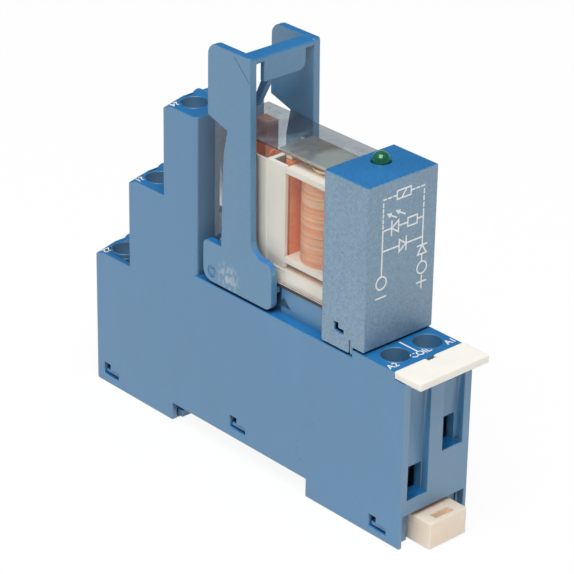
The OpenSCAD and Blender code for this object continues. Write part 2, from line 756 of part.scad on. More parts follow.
bobbin_z0 = frame_z + yoke_foot_t + seat_gap;
bobbin_z1 = yoke_top - 0.7;
bobbin_t = 1.1;
bobbin_x0 = yoke_x1 + seat_gap;
bobbin_x1 = relay_x1 - cover_t - 0.6;
bobbin_y = winding_r + 0.5;
tube_r = core_r + 0.8;

module coil_bobbin() {
    color(cream) centred() difference() {
        union() {
            for (z = [bobbin_z0, bobbin_z1 - bobbin_t]) {
                box(bobbin_x0, bobbin_x1, -bobbin_y, bobbin_y, z, z + bobbin_t);
            }
            translate([coil_x, 0, bobbin_z0]) cylinder(r = tube_r, h = bobbin_z1 - bobbin_z0);
        }
        translate([coil_x, 0, bobbin_z0 - cut]) cylinder(r = core_r + run_gap, h = bobbin_z1 - bobbin_z0 + 2 * cut);
    }
}

module coil_winding() {
    color(copper) centred() translate([coil_x, 0, bobbin_z0 + bobbin_t]) difference() {
        cylinder(r = winding_r, h = bobbin_z1 - bobbin_z0 - 2 * bobbin_t);
        translate([0, 0, -cut]) cylinder(r = tube_r, h = bobbin_z1 - bobbin_z0 + 2 * cut);
    }
}

pole_t = 0.6;
pole_out = 1.1;

module coil_core() {
    color(steel) centred() translate([coil_x, 0, 0]) {
        translate([0, 0, frame_z]) cylinder(r = core_r, h = yoke_top - frame_z - 0.1);
        translate([0, 0, yoke_top - pole_t]) cylinder(r = core_r + pole_out, h = pole_t);
    }
}

module yoke() {
    color(steel) centred() difference() {
        slab(-arm_y, arm_y) {
            pane(yoke_x0, yoke_x1, frame_z, yoke_top);
            pane(yoke_x0, arm_x1, frame_z, frame_z + yoke_foot_t);
        }
        translate([coil_x, 0, frame_z - cut]) cylinder(r = core_r, h = yoke_foot_t + 2 * cut);
    }
}

arm_t = 0.7;
arm_z0 = yoke_top + 0.9;
arm_z1 = arm_z0 + arm_t;
tail_t = 0.9;
tail_y = 2.6;

// Bell crank that rocks on top of the yoke: a plate over the core and a tail down to the card
module armature() {
    color(steel) centred() {
        slab(-arm_y, arm_y) {
            pane(arm_x0, arm_x1, arm_z0, arm_z1);
            pane(yoke_x0, yoke_x1, yoke_top + slide_gap, arm_z0 + 0.3);
        }
        slab(-tail_y, tail_y) pane(arm_x0, arm_x0 + tail_t, card_z - 1, arm_z1);
    }
}

blade_t = 0.3;
blade_x = com_x;
blade_y0 = 1.6;
blade_y1 = relay_y - 1.2;
blade_foot = floor_z + 1.6;
rivet_z = card_z + 3.5;
blade_top = rivet_z + 1.5;
rivet_r = 0.9;
rivet_y = 2.7;
rivet_half = 0.5;

card_gap = 0.15;
card_hz = 0.8;
card_y = 2.4;
card_bar_t = 1;
card_bar_y = blade_y1 - 0.1;
card_tip_w = 0.8;
card_bar_in = 1.2;
card_bar_x1 = wing_x0 - card_bar_in;
card_tip_x0 = blade_x + blade_t / 2 + card_gap;

// T-shaped card with two tips that push the moving blades
module contact_card() {
    z0 = card_z - card_hz;
    z1 = card_z + card_hz;
    color(white) centred() {
        box(card_bar_x1 - 0.3, arm_x0 - card_gap, -card_y, card_y, z0, z1);
        box(card_bar_x1 - card_bar_t, card_bar_x1, -card_bar_y, card_bar_y, z0, z1);
        both_sides() box(card_tip_x0, card_bar_x1, -card_bar_y, card_tip_w - card_bar_y, z0, z1);
    }
}

// Round contact rivet along X from x0 to x1
module rivet(x0, x1, side) {
    translate([x0, side * rivet_y, rivet_z]) rotate([0, 90, 0]) cylinder(r = rivet_r, h = x1 - x0);
}

module moving_blade(side) {
    y0 = side > 0 ? blade_y0 : -blade_y1;
    color(copper) centred() {
        box(blade_x - blade_t / 2, blade_x + blade_t / 2, y0, y0 + blade_y1 - blade_y0, blade_foot, blade_top);
        rivet(blade_x - rivet_half, blade_x + rivet_half, side);
    }
}

module common_pin(side) {
    y0 = side > 0 ? blade_y0 : -blade_y1;
    color(copper) centred() {
        plug_pin(com_x, side, floor_z);
        box(com_x - pin_t / 2, com_x + pin_t / 2, y0, y0 + blade_y1 - blade_y0, floor_z, blade_foot - slide_gap);
    }
}

fixed_t = 0.5;
fixed_y1 = pin_y + 0.15;
fixed_low_t = 0.6;
fixed_top = relay_z1 - cover_t - 0.5;
contact_gap = 0.95;
rivet_t = 0.4;

// Side-view strip of a fixed contact, drawn as panes and given the width of the contact
module fixed_strip(side) {
    y0 = side > 0 ? blade_y0 : -fixed_y1;
    slab(y0, y0 + fixed_y1 - blade_y0) children();
}

// Break contact: from its pin along the floor, then up beside the blade
module break_contact(side) {
    x = blade_x + rivet_half + seat_gap / 2 + rivet_t;
    color(copper) centred() {
        plug_pin(nc_x, side, floor_z + fixed_low_t);
        fixed_strip(side) {
            pane(x, nc_x + pin_w / 2, floor_z, floor_z + fixed_low_t);
            pane(x, x + fixed_t, floor_z, blade_top);
        }
        rivet(x - rivet_t, x + 0.1, side);
    }
}

// Make contact: up from its pin, across and down to the rivet
module make_contact(side) {
    x = blade_x - rivet_half - contact_gap - rivet_t - fixed_t;
    color(copper) centred() {
        plug_pin(no_x, side, floor_z + fixed_low_t);
        fixed_strip(side) {
            pane(no_x - fixed_t / 2, no_x + fixed_t / 2, floor_z, fixed_top);
            pane(no_x - fixed_t / 2, x + fixed_t, fixed_top - fixed_t, fixed_top);
            pane(x, x + fixed_t, rivet_z - 1.5, fixed_top);
        }
        rivet(x + fixed_t - 0.1, x + fixed_t + rivet_t, side);
    }
}

module coil_pins() {
    color(copper) centred() for (side = [-1, 1]) plug_pin(coil_pin_x, side, bobbin_z0 - seat_gap);
}

// ---- indicator module ----

skirt_z = shelf_z + 0.3;
module_in = mid - module_wall;
lamp_x = module_x0 + 3.45;
lamp_y = 1.5;
pin_tail = 2.4;
board_t = 1;
board_y = module_in - 1;
board_x = module_pin_x + pin_w / 2;
board_z0 = seat_z + 1.5;
board_z1 = module_z1 - 4.5;
catch_x = module_x0 + 2.9;
catch_z = skirt_z + 3.1;
catch_w = 1.2;
lead_t = 0.5;
lead_r = 0.3;

module module_case() {
    color(blue) centred() difference() {
        slab(-mid, mid) polygon([[module_x0, skirt_z], [deck_x0, skirt_z], [deck_x0, deck_z + 0.3],
            [module_x1, deck_z + 0.3], [module_x1, module_z1], [module_x0, module_z1]]);
        box(module_x0 + module_wall, module_x1 - module_wall, -module_in, module_in, skirt_z - cut,
            module_z1 - module_wall);
        box(module_x0 - cut, module_x0 + module_wall + cut, -seat_w / 2 - 0.25, seat_w / 2 + 0.25, skirt_z - cut,
            seat_z + 0.3);
        translate([lamp_x, lamp_y, module_z1 - 3]) cylinder(r = lamp_r + 0.1, h = 4);
        both_sides() slab(-mid - cut, -module_in + 0.1) {
            pane(catch_x, catch_x + catch_w, catch_z, catch_z + 1.5);
            pane(catch_x, catch_x + 2 * catch_w, catch_z, catch_z + catch_w / 2);
            pane(catch_x + 3.8, catch_x + 4.05, skirt_z - cut, skirt_z + 2.5);
        }
    }
}

module module_base() {
    color(blue) centred() difference() {
        box(module_x0 + module_wall + seat_gap, module_x1 - module_wall - seat_gap, seat_gap - module_in,
            module_in - seat_gap, seat_z + 0.2, board_z0 - 0.1);
        for (side = [-1, 1]) box(module_pin_x - pin_w / 2, module_pin_x + pin_w / 2, side * pin_y - pin_t / 2,
            side * pin_y + pin_t / 2, seat_z - cut, board_z0 + cut);
    }
}

module module_pins() {
    color(brass) centred() for (side = [-1, 1]) box(module_pin_x - pin_w / 2, module_pin_x + pin_w / 2,
        side * pin_y - pin_t / 2, side * pin_y + pin_t / 2, relay_z0 - pin_l, board_z0 + pin_tail);
}

module module_board() {
    color(board_green) centred() box(board_x, board_x + board_t, -board_y, board_y, board_z0, board_z1);
}

module indicator_lamp() {
    flange_z = module_z1 - module_wall - 0.8;
    dome_z = flange_z + 1.9;
    hw = lead_t / 2;
    color(lamp_green) centred() translate([lamp_x, lamp_y, 0]) {
        translate([0, 0, flange_z]) cylinder(r = lamp_r + 0.3, h = 0.6);
        translate([0, 0, flange_z]) cylinder(r = lamp_r, h = dome_z - flange_z);
        intersection() {
            translate([0, 0, dome_z]) sphere(r = lamp_r);
            box(-lamp_r, lamp_r, -lamp_r, lamp_r, dome_z - 0.2, dome_z + lamp_r);
        }
        for (y = [-1, 1]) {
            box(-hw, hw, y - hw, y + hw, board_z1 - 1.5, flange_z + 0.1);
            box(-hw, board_x - lamp_x, y - hw, y + hw, board_z1 - 1.5, board_z1 - 1.5 + lead_t);
        }
    }
}

// Part with a round body along Y and two leads that reach the board
module round_part(r, l, z) {
    x = board_x - r - 0.3;
    lead_y = l / 2 + 0.9;
    bar_y(x, z, r, -l / 2, l / 2);
    bar_y(x, z, lead_r, -l / 2 - 1, l / 2 + 1);
    for (y = [-lead_y, lead_y]) box(x, board_x, y - lead_r, y + lead_r, z - lead_r, z + lead_r);
}

module resistor() {
    color(tan) centred() round_part(1.1, 6, board_z0 + 14.2);
}

module diode() {
    color(black) centred() round_part(0.9, 4.4, board_z0 + 10.2);
}

disc_r = 2.9;
disc_t = 1.9;
disc_z = board_z0 + 5.2;

module varistor() {
    hw = lead_t / 2;
    color(enamel_blue) centred() {
        translate([board_x - disc_t - lead_t, 0, disc_z]) rotate([0, 90, 0]) cylinder(r = disc_r, h = disc_t);
        for (y = [-2, 2]) box(board_x - disc_t, board_x, y - hw, y + hw, disc_z - 1.7, disc_z - 1.7 + lead_t);
    }
}

socket_housing();
base_plate();
rail_clip();
marker_tag();
retaining_clip();
terminal_screw(terminals[0]);  // terminal_screw_12
terminal_screw(terminals[1]);  // terminal_screw_22
terminal_screw(terminals[2]);  // terminal_screw_11
terminal_screw(terminals[3]);  // terminal_screw_21
terminal_screw(terminals[4]);  // terminal_screw_14
terminal_screw(terminals[5]);  // terminal_screw_24
terminal_screw(terminals[6]);  // terminal_screw_a1
terminal_screw(terminals[7]);  // terminal_screw_a2
clamp_cage(terminals[0]);  // clamp_cage_12
clamp_cage(terminals[1]);  // clamp_cage_22
clamp_cage(terminals[2]);  // clamp_cage_11
clamp_cage(terminals[3]);  // clamp_cage_21
clamp_cage(terminals[4]);  // clamp_cage_14
clamp_cage(terminals[5]);  // clamp_cage_24
clamp_cage(terminals[6]);  // clamp_cage_a1
clamp_cage(terminals[7]);  // clamp_cage_a2
strip_12(terminals[0]);  // contact_strip_12
strip_12(terminals[1]);  // contact_strip_22
strip_11(terminals[2]);  // contact_strip_11
strip_11(terminals[3]);  // contact_strip_21
strip_14(terminals[4]);  // contact_strip_14
strip_14(terminals[5]);  // contact_strip_24
strip_a(terminals[6]);  // contact_strip_a1
strip_a(terminals[7]);  // contact_strip_a2
relay_cover();
relay_base();
insulating_wall();
coil_bobbin();
coil_winding();
coil_core();
yoke();
armature();
contact_card();
moving_blade(1);  // moving_blade_1
moving_blade(-1);  // moving_blade_2
common_pin(1);  // common_pin_1
common_pin(-1);  // common_pin_2
break_contact(1);  // break_contact_1
break_contact(-1);  // break_contact_2
make_contact(1);  // make_contact_1
make_contact(-1);  // make_contact_2
coil_pins();
module_case();
module_base();
module_board();
module_pins();
indicator_lamp();
resistor();
diode();
varistor();
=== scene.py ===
"""Plug-in relay on a rail socket: finishes, printed marks, coil winding, light and camera.

Metres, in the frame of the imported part: X along the socket towards the coil end, Y across it, Z up.
"""

import math

import bpy
from mathutils import Matrix, Vector


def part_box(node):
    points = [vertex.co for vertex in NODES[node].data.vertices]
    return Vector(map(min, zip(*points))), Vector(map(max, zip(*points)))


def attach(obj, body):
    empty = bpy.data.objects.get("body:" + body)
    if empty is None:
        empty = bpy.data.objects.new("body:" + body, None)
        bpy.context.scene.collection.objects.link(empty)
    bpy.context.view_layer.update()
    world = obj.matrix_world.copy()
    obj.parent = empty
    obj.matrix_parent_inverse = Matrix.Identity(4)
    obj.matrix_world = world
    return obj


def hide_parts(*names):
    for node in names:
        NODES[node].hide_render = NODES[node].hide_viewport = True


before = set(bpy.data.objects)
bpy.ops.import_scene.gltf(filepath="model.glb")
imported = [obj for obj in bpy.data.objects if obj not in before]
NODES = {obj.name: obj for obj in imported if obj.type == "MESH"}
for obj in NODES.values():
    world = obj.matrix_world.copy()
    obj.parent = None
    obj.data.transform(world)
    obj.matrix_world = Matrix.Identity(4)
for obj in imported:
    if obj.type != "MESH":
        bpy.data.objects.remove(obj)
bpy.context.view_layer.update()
MM = 0.001


# ---- camera, floor and light ----

CAMERA_AT = (0.315913, -0.289555, 0.246897)
AZIMUTH = math.radians(47.387)
ELEVATION = math.radians(26.622)
ROLL = math.radians(1.001)
LENS_MM = 173.65
SENSOR_MM = 36


def add_camera():
    """Camera at the photograph's viewing angle, from the fit to its edges."""
    back = Vector((math.sin(AZIMUTH) * math.cos(ELEVATION), -math.cos(AZIMUTH) * math.cos(ELEVATION),
                   math.sin(ELEVATION)))
    right = Vector((math.cos(AZIMUTH), math.sin(AZIMUTH), 0))
    up = back.cross(right)
    x = right * math.cos(ROLL) + up * math.sin(ROLL)
    y = up * math.cos(ROLL) - right * math.sin(ROLL)
    data = bpy.data.cameras.new("camera")
    data.lens = LENS_MM
    data.sensor_width = SENSOR_MM
    camera = bpy.data.objects.new("camera", data)
    camera.matrix_world = Matrix.Translation(CAMERA_AT) @ Matrix((x, y, back)).transposed().to_4x4()
    bpy.context.scene.collection.objects.link(camera)
    bpy.context.scene.camera = camera


def seen_directly(tree):
    """1 for rays from the camera, and for those that a mirror or glass sends on, else 0."""
    path = tree.nodes.new("ShaderNodeLightPath")
    total = path.outputs["Is Camera Ray"]
    for kind in ("Is Glossy Ray", "Is Transmission Ray"):
        add = tree.nodes.new("ShaderNodeMath")
        add.operation = "MAXIMUM"
        tree.links.new(total, add.inputs[0])
        tree.links.new(path.outputs[kind], add.inputs[1])
        total = add.outputs[0]
    return total


FLOOR_HALF = 3.0
FLOOR_Z = -0.02 * MM
FLOOR_GLOW = 0.92       # share of plain white where it is seen directly
FLOOR_TONE = 0.97
WORLD_LEVEL = 0.30      # light on dull surfaces
MIRROR_LEVEL = 0.14     # what shiny surfaces mirror
SOFTBOX_AT = (0.25, -0.35, 1.15)
SOFTBOX_SIZE = 0.9
SOFTBOX_POWER = 14.5


def add_floor():
    """Pale floor that takes shadows and is nearly white where it is seen directly."""
    mesh = bpy.data.meshes.new("floor")
    h, z = FLOOR_HALF, FLOOR_Z
    mesh.from_pydata([(-h, -h, z), (h, -h, z), (h, h, z), (-h, h, z)], [], [(0, 1, 2, 3)])
    floor = bpy.data.objects.new("floor", mesh)
    bpy.context.scene.collection.objects.link(floor)
    material = bpy.data.materials.new("floor")
    material.use_nodes = True
    tree = material.node_tree
    tree.nodes.clear()
    diffuse = tree.nodes.new("ShaderNodeBsdfDiffuse")
    diffuse.inputs["Color"].default_value = (FLOOR_TONE, FLOOR_TONE, FLOOR_TONE, 1)
    glow = tree.nodes.new("ShaderNodeEmission")
    share = tree.nodes.new("ShaderNodeMath")
    share.operation = "MULTIPLY"
    share.inputs[1].default_value = FLOOR_GLOW
    tree.links.new(seen_directly(tree), share.inputs[0])
    mix = tree.nodes.new("ShaderNodeMixShader")
    tree.links.new(share.outputs[0], mix.inputs[0])
    tree.links.new(diffuse.outputs[0], mix.inputs[1])
    tree.links.new(glow.outputs[0], mix.inputs[2])
    out = tree.nodes.new("ShaderNodeOutputMaterial")
    tree.links.new(mix.outputs[0], out.inputs[0])
    mesh.materials.append(material)


def add_world():
    """White where it is seen directly, dim where it lights or is mirrored."""
    world = bpy.data.worlds.new("studio")
    bpy.context.scene.world = world
    world.use_nodes = True
    tree = world.node_tree
    tree.nodes.clear()
    path = tree.nodes.new("ShaderNodeLightPath")
    direct = tree.nodes.new("ShaderNodeMath")
    direct.operation = "MAXIMUM"
    tree.links.new(path.outputs["Is Camera Ray"], direct.inputs[0])
    tree.links.new(path.outputs["Is Transmission Ray"], direct.inputs[1])
    mirrored = tree.nodes.new("ShaderNodeMapRange")
    tree.links.new(path.outputs["Is Glossy Ray"], mirrored.inputs["Value"])
    mirrored.inputs["To Min"].default_value = WORLD_LEVEL
    mirrored.inputs["To Max"].default_value = MIRROR_LEVEL
    level = tree.nodes.new("ShaderNodeMapRange")
    tree.links.new(direct.outputs[0], level.inputs["Value"])
    tree.links.new(mirrored.outputs[0], level.inputs["To Min"])
    level.inputs["To Max"].default_value = 1.0
    background = tree.nodes.new("ShaderNodeBackground")
    tree.links.new(level.outputs[0], background.inputs["Strength"])
    out = tree.nodes.new("ShaderNodeOutputWorld")
    tree.links.new(background.outputs[0], out.inputs[0])


def add_softbox():
    data = bpy.data.lights.new("softbox", "AREA")
    data.shape = "SQUARE"
    data.size = SOFTBOX_SIZE
    data.energy = SOFTBOX_POWER
    lamp = bpy.data.objects.new("softbox", data)
    lamp.location = SOFTBOX_AT
    lamp.rotation_euler = (-Vector(SOFTBOX_AT)).to_track_quat("-Z", "Y").to_euler()
    bpy.context.scene.collection.objects.link(lamp)


# ---- material nodes ----

X_AXIS, Z_AXIS = 0, 2


class Tree:
    """Short hand for the nodes of one material."""

    def __init__(self, name):
        self.material = bpy.data.materials.new(name)
        self.material.use_nodes = True
        self.tree = self.material.node_tree
        self.tree.nodes.clear()
        self.out = self.add("OutputMaterial")
        self.coords = self.add("TexCoord")

    def add(self, kind, values=None, **settings):
        node = self.tree.nodes.new("ShaderNode" + kind)
        for key, value in settings.items():
            setattr(node, key, value)
        for key, value in (values or {}).items():
            self.put(node.inputs[key], value)
        return node

    def put(self, socket, value):
        if isinstance(value, bpy.types.NodeSocket):
            self.tree.links.new(value, socket)
        elif isinstance(value, tuple) and socket.type == "RGBA":
            socket.default_value = (*value, 1.0)
        else:
            socket.default_value = value

    def noise(self, scale, detail=3.0, stretch=(1, 1, 1), seed=0.0):
        """Noise with about scale cells in a metre, drawn out along the axes with a small stretch."""
        mapping = self.add("Mapping", {"Vector": self.coords.outputs["Object"], "Scale": stretch,
                                       "Location": (seed, 0.7 * seed, 1.3 * seed)})
        noise = self.add("TexNoise", {"Vector": mapping.outputs[0], "Scale": scale, "Detail": detail})
        return noise.outputs[0]

    def calc(self, operation, a, b):
        return self.add("Math", {0: a, 1: b}, operation=operation).outputs[0]

    def span(self, value, low, high, out_low, out_high):
        """value carried from low..high to out_low..out_high, and held at the ends."""
        return self.add("MapRange", {"Value": value, "From Min": low, "From Max": high,
                                     "To Min": out_low, "To Max": out_high}).outputs[0]

    def blend(self, share, a, b, kind="MIX"):
        node = self.add("Mix", data_type="RGBA", blend_type=kind)
        for index, value in ((0, share), (6, a), (7, b)):
            self.put(node.inputs[index], value)
        return node.outputs[2]

    def tint(self, color, level):
        """color made lighter or darker by the number level."""
        grey = self.add("CombineColor", {"Red": level, "Green": level, "Blue": level}).outputs[0]
        return self.blend(1.0, color, grey, "MULTIPLY")

    def facing(self, axis):
        """1 on faces that look along an axis of the piece's own frame, 0 on the others."""
        along = self.add("SeparateXYZ", {"Vector": self.coords.outputs["Normal"]}).outputs[axis]
        return self.span(along, 0.35, 0.8, 0.0, 1.0)

    def facing_up(self):
        return self.facing(Z_AXIS)

    def height_band(self, low, high):
        """1 from the height low up to high in the piece's own frame, else 0."""
        z = self.add("SeparateXYZ", {"Vector": self.coords.outputs["Object"]}).outputs[2]
        above = self.calc("GREATER_THAN", z, low)
        below = self.calc("LESS_THAN", z, high)
        return self.calc("MULTIPLY", above, below)

    def hollow_shade(self, reach):
        """Mask for painted shade: 0 in the open, 1 deep in a gap or a hole."""
        open_share = self.add("AmbientOcclusion", {"Distance": reach}, samples=8).outputs["AO"]
        return self.span(open_share, 0.06, 0.38, 1.0, 0.0)

    def bump(self, height, strength, depth):
        return self.add("Bump", {"Height": height, "Strength": strength, "Distance": depth}).outputs[0]

    def surface(self, values):
        shader = self.add("BsdfPrincipled", values)
        self.tree.links.new(shader.outputs[0], self.out.inputs[0])
        return self.material


# painted shade deep in gaps and holes: how far it reaches, and its dark colour
HOLLOW_SHADE_REACH = 3.2 * MM
HOLLOW_SHADE_TONE = (0.045, 0.022, 0.035)
SHINE = 1.0
SCUFF_AT = Vector((-5.3, -7.9, 34.4)) * MM      # on the foot of the clip
SCUFF_R = 3.4 * MM
SCUFF_TONE = (0.42, 0.50, 0.58)


def scuffed(t, color):
    """color with the pale scratches that thumbs have left round one spot."""
    away = t.add("VectorMath", {0: t.coords.outputs["Object"], 1: SCUFF_AT}, operation="DISTANCE")
    near = t.span(away.outputs["Value"], 0.3 * SCUFF_R, SCUFF_R, 1.0, 0.0)
    marks = t.span(t.noise(1500, 4, (1, 1, 0.6), 9.3), 0.44, 0.58, 0.0, 0.85)
    return t.blend(t.calc("MULTIPLY", near, marks), color, SCUFF_TONE)


def moulded(name, top, side, roughness=0.36, grain=0.12, mottle=0.05, speck=0.04, scuff=False, end=None):
    """Moulded plastic with a spark-eroded grain and faint flow marks.

    The sides, and the end that looks along X, can be painted paler than the top faces, a painted sheen for
    the pale light they mirror.
    """
    t = Tree(name)
    # painted sheen: the end that looks along X paler still
    if end:
        side = t.blend(t.facing(X_AXIS), side, end)
    if scuff:
        side = scuffed(t, side)
    flow = t.noise(90, 2, (1, 1, 0.35), 3.1)
    fine = t.noise(2600, 3, seed=1.7)
    # painted sheen on the sides against the top's colour, then painted shade deep in gaps and holes
    base = t.blend(t.hollow_shade(HOLLOW_SHADE_REACH), t.blend(t.facing_up(), side, top), HOLLOW_SHADE_TONE)
    level = t.calc("MULTIPLY", t.span(flow, 0.3, 0.7, 1 - mottle, 1 + mottle),
                   t.span(fine, 0.3, 0.7, 1 - speck, 1 + speck))
    rough = t.calc("ADD", t.span(fine, 0.3, 0.7, roughness - 0.05, roughness + 0.05),
                   t.span(flow, 0.3, 0.7, -0.04, 0.04))
    return t.surface({"Base Color": t.tint(base, level), "Roughness": rough, "Specular IOR Level": SHINE,
                      "Normal": t.bump(t.noise(5200, 2, seed=4.4), grain, 0.02 * MM)})


SHADE_TONE = (0.060, 0.035, 0.045)
BELOW_ALL = -1.0


def soft_plastic(name, color, roughness=0.45, glow=0.25, radius=(1.2, 0.7, 0.5), shade_below=None):
    """Pale plastic that lets some light in; its edge below a height can be in the shade."""
    t = Tree(name)
    if shade_below:
        color = t.blend(t.height_band(BELOW_ALL, shade_below), color, SHADE_TONE)
    cloud = t.noise(160, 3, seed=2.3)
    fine = t.noise(2400, 2, seed=5.1)
    level = t.calc("MULTIPLY", t.span(cloud, 0.3, 0.7, 0.96, 1.02), t.span(fine, 0.3, 0.7, 0.985, 1.015))
    return t.surface({"Base Color": t.tint(color, level), "Subsurface Weight": glow,
                      "Subsurface Radius": tuple(r * MM for r in radius), "Subsurface Scale": 1.0,
                      "Roughness": t.span(fine, 0.3, 0.7, roughness - 0.06, roughness + 0.06),
                      "Normal": t.bump(fine, 0.08, 0.02 * MM)})


def rolled_metal(name, color, dull, roughness=0.3, metal=1.0):
    """Rolled sheet metal: fine draw lines, and patches where it has gone dull."""
    t = Tree(name)
    lines = t.noise(3000, 3, (0.08, 1, 1), 1.1)
    patch = t.noise(260, 4, seed=6.2)
    base = t.blend(t.span(patch, 0.42, 0.68, 0.0, 0.75), color, dull)
    return t.surface({"Base Color": t.tint(base, t.span(lines, 0.3, 0.7, 0.9, 1.1)), "Metallic": metal,
                      "Roughness": t.span(patch, 0.35, 0.7, roughness - 0.06, roughness + 0.14),
                      "Normal": t.bump(lines, 0.12, 0.01 * MM)})


def wound_wire(name):
    """Enamelled copper wire, each turn a little different."""
    t = Tree(name)
    turn = t.noise(2400, 2, (0.02, 0.02, 1), 0.4)
    cloud = t.noise(240, 3, seed=2.9)
    base = t.blend(t.span(turn, 0.35, 0.65, 0.0, 1.0), (1.0, 0.34, 0.12), (1.0, 0.62, 0.38))
    return t.surface({"Base Color": t.tint(base, t.span(cloud, 0.3, 0.7, 0.88, 1.08)), "Metallic": 0.2,
                      "Roughness": t.span(turn, 0.3, 0.7, 0.30, 0.42), "Coat Weight": 0.5,
                      "Coat Roughness": 0.2, "Normal": t.bump(t.noise(4000, 2), 0.05, 0.01 * MM)})


# depth of the bands of painted shade at the cover's top rim and at its foot
COVER_TOP_RIM_SHADE = 0.42 * MM
COVER_FOOT_RIM_SHADE = 0.25 * MM
COVER_IOR = 1.5


def clear_cover(name):
    """Clear plastic: side walls that let the works be seen, painted shade lines at their rims, and a top
    painted dark bluish as a painted reflection, with paler streaks.
    """
    t = Tree(name)
    low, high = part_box("relay_cover")
    haze = t.noise(420, 3, seed=8.8)
    pale_streaks = t.span(t.noise(150, 3, (1, 0.5, 1), 5.4), 0.50, 0.62, 0.0, 1.0)
    up = t.facing_up()
    outer = t.span(t.add("NewGeometry").outputs["Backfacing"], 0, 1, 1, 0)
    mirror = t.calc("MULTIPLY", t.add("Fresnel", {"IOR": COVER_IOR}).outputs[0], outer)
    # painted shade along the top rim and the foot of the cover
    rim_shade = t.calc("ADD", t.height_band(high.z - COVER_TOP_RIM_SHADE, high.z + MM),
                  t.height_band(low.z - MM, low.z + COVER_FOOT_RIM_SHADE))
    share = t.calc("MAXIMUM", t.span(rim_shade, 0, 1, 0.02, 0.62), t.span(up, 0, 1, 0.0, 0.56))
    share = t.calc("MULTIPLY", share, outer)
    painted_tone = t.blend(rim_shade, (0.30, 0.38, 0.44), (0.035, 0.040, 0.075))
    # painted reflection: the top faces dark bluish, with paler streaks
    painted_tone = t.blend(up, painted_tone, t.blend(pale_streaks, (0.055, 0.100, 0.145), (0.24, 0.34, 0.38)))
    clear = t.add("BsdfTransparent", {"Color": (0.978, 0.985, 0.99)})
    gloss = t.add("BsdfGlossy", {"Color": (0.95, 0.97, 1.0),
                                 "Roughness": t.span(haze, 0.3, 0.7, 0.03, 0.08)})
    painted_film = t.add("BsdfDiffuse", {"Color": painted_tone})
    wall = t.add("MixShader", {0: share, 1: clear.outputs[0], 2: painted_film.outputs[0]})
    mix = t.add("MixShader", {0: mirror, 1: wall.outputs[0], 2: gloss.outputs[0]})
    t.tree.links.new(mix.outputs[0], t.out.inputs[0])
    return t.material


def lamp_glass(name):
    """Green lamp: tinted clear resin with a cloudy core."""
    t = Tree(name)
    cloud = t.noise(900, 2, seed=3.3)
    base = t.blend(t.span(cloud, 0.3, 0.7, 0.0, 1.0), (0.010, 0.16, 0.075), (0.020, 0.26, 0.12))
    return t.surface({"Base Color": base, "Roughness": t.span(cloud, 0.3, 0.7, 0.08, 0.16),
                      "Transmission Weight": 0.35, "Coat Weight": 0.6, "Coat Roughness": 0.05})


def circuit_board(name):
    """Green solder mask over a faint glass weave."""
    t = Tree(name)
    weave = t.add("TexWave", {"Vector": t.coords.outputs["Object"], "Scale": 700.0, "Distortion": 0.6})
    weave = weave.outputs["Fac"]
    return t.surface({"Base Color": t.tint((0.030, 0.150, 0.050), t.span(weave, 0, 1, 0.85, 1.1)),
                      "Roughness": 0.35, "Normal": t.bump(weave, 0.1, 0.02 * MM)})


def print_and_painted_shade(name, color):
    """Pad-printed ink, and painted shade for dark marks, with slightly uneven cover."""
    t = Tree(name)
    cover = t.noise(3200, 3, seed=7.7)
    return t.surface({"Base Color": t.tint(color, t.span(cover, 0.25, 0.7, 0.84, 1.0)), "Roughness": 0.5,
                      "Normal": t.bump(cover, 0.1, 0.01 * MM)})


BLUE_TOP = (0.0110, 0.172, 0.440)
# side and end colours: the top's blue with a painted sheen for the pale light that upright faces mirror
BLUE_SIDE_SHEEN = (0.075, 0.235, 0.430)
BLUE_END_SHEEN = (0.130, 0.272, 0.430)
MODULE_SIDE_SHEEN = (0.185, 0.310, 0.430)
CLIP_SIDE_SHEEN = (0.100, 0.255, 0.425)
CREAM = (0.95, 0.87, 0.75)
STEEL, DULL_STEEL = (0.62, 0.62, 0.64), (0.42, 0.40, 0.40)
BLACK, ENAMEL = (0.02, 0.02, 0.022), (0.03, 0.12, 0.38)
# the white is print; the dark blue is painted shade for the recessed arrow and the clip's crease
WHITE_INK, PAINTED_SHADE_COLOR = (0.95, 0.96, 0.96), (0.055, 0.108, 0.170)


